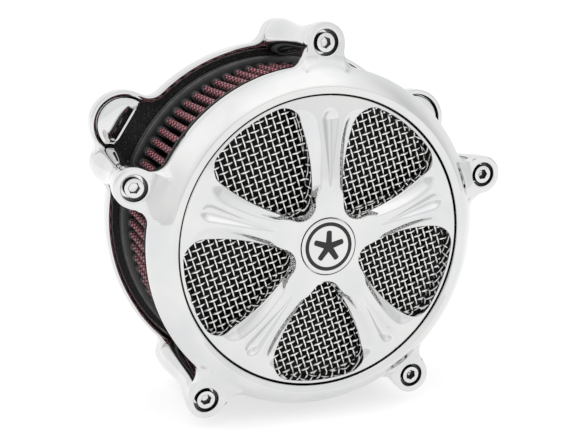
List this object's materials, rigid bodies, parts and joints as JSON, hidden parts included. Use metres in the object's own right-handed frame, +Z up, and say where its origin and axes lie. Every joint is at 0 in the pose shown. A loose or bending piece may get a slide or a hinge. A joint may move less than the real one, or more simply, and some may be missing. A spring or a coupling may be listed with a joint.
{
  "type": "air filter",
  "caption": "Round chrome motorcycle air cleaner: five-spoke cover with wire screen windows, red pleated filter element and dished backplate with two breather outlets.",
  "frame": {"origin": "centre of the throttle opening in the plane of the backplate's rear mounting face", "axes": "+Y along the filter axis towards the engine, so the spoked face looks along -Y; +Z up; +X to the right seen from the front"},
  "size_m": [0.2062, 0.1017, 0.2033],
  "materials": {
    "chrome_plate": "polished chrome plate on cast and machined aluminium",
    "zinc_steel": "bright zinc plate",
    "screen_wire": "drawn stainless wire, woven and crimped",
    "black_steel": "black oxide and black paint",
    "black_rubber": "moulded black urethane",
    "grey_rubber": "moulded dark grey urethane",
    "red_gauze": "oiled cotton gauze between coated wire meshes",
    "black_enamel": "black enamel filled flush"
  },
  "bodies": {
    "backplate_unit": {"backplate": "chrome_plate", "velocity_stack": "zinc_steel", "throttle_seal": "black_rubber", "throttle_screw_1": "zinc_steel", "throttle_screw_2": "zinc_steel", "throttle_screw_3": "zinc_steel", "breather_hood_left": "chrome_plate", "breather_hood_right": "chrome_plate", "breather_stud_left": "zinc_steel", "breather_stud_right": "zinc_steel", "breather_seal_left": "black_rubber", "breather_seal_right": "black_rubber"},
    "element": {"pleated_media": "red_gauze", "front_end_cap": "black_rubber", "element_top_plate": "black_steel", "rear_end_ring": "grey_rubber"},
    "cover": {"cover_ring": "chrome_plate", "cover_post_1": "chrome_plate", "cover_post_2": "chrome_plate", "cover_post_3": "chrome_plate", "cover_post_4": "chrome_plate", "cover_post_5": "chrome_plate", "face_insert": "chrome_plate", "wire_screen": "screen_wire", "insert_screw_1": "black_steel", "insert_screw_2": "black_steel", "insert_screw_3": "black_steel", "insert_screw_4": "black_steel", "insert_screw_5": "black_steel", "centre_cap": "chrome_plate", "cap_ring_inlay": "black_enamel", "cap_propeller_inlay": "black_enamel", "cap_nut": "zinc_steel"},
    "screw_1": {"cover_screw_1": "chrome_plate"},
    "screw_2": {"cover_screw_2": "chrome_plate"},
    "screw_3": {"cover_screw_3": "chrome_plate"},
    "screw_4": {"cover_screw_4": "chrome_plate"},
    "screw_5": {"cover_screw_5": "chrome_plate"}
  },
  "joints": [
    {"name": "cover_slide", "type": "slide", "parent": "backplate_unit", "child": "cover", "axis": [0, -1, 0], "range_m": [0, 0.1]},
    {"name": "element_slide", "type": "slide", "parent": "backplate_unit", "child": "element", "axis": [0, -1, 0], "range_m": [0, 0.05]},
    {"name": "cover_screw_1_turn", "type": "hinge", "parent": "cover", "child": "screw_1", "pos_m": [0, -0.075, 0.098], "axis": [0, 1, 0], "continuous": true},
    {"name": "cover_screw_2_turn", "type": "hinge", "parent": "cover", "child": "screw_2", "pos_m": [-0.0932, -0.075, 0.03028], "axis": [0, 1, 0], "continuous": true},
    {"name": "cover_screw_3_turn", "type": "hinge", "parent": "cover", "child": "screw_3", "pos_m": [-0.0576, -0.075, -0.07928], "axis": [0, 1, 0], "continuous": true},
    {"name": "cover_screw_4_turn", "type": "hinge", "parent": "cover", "child": "screw_4", "pos_m": [0.0576, -0.075, -0.07928], "axis": [0, 1, 0], "continuous": true},
    {"name": "cover_screw_5_turn", "type": "hinge", "parent": "cover", "child": "screw_5", "pos_m": [0.0932, -0.075, 0.03028], "axis": [0, 1, 0], "continuous": true}
  ],
  "couplings": [
    {"joint": "element_slide", "follows": "cover_slide", "ratio": 0.5}
  ]
}
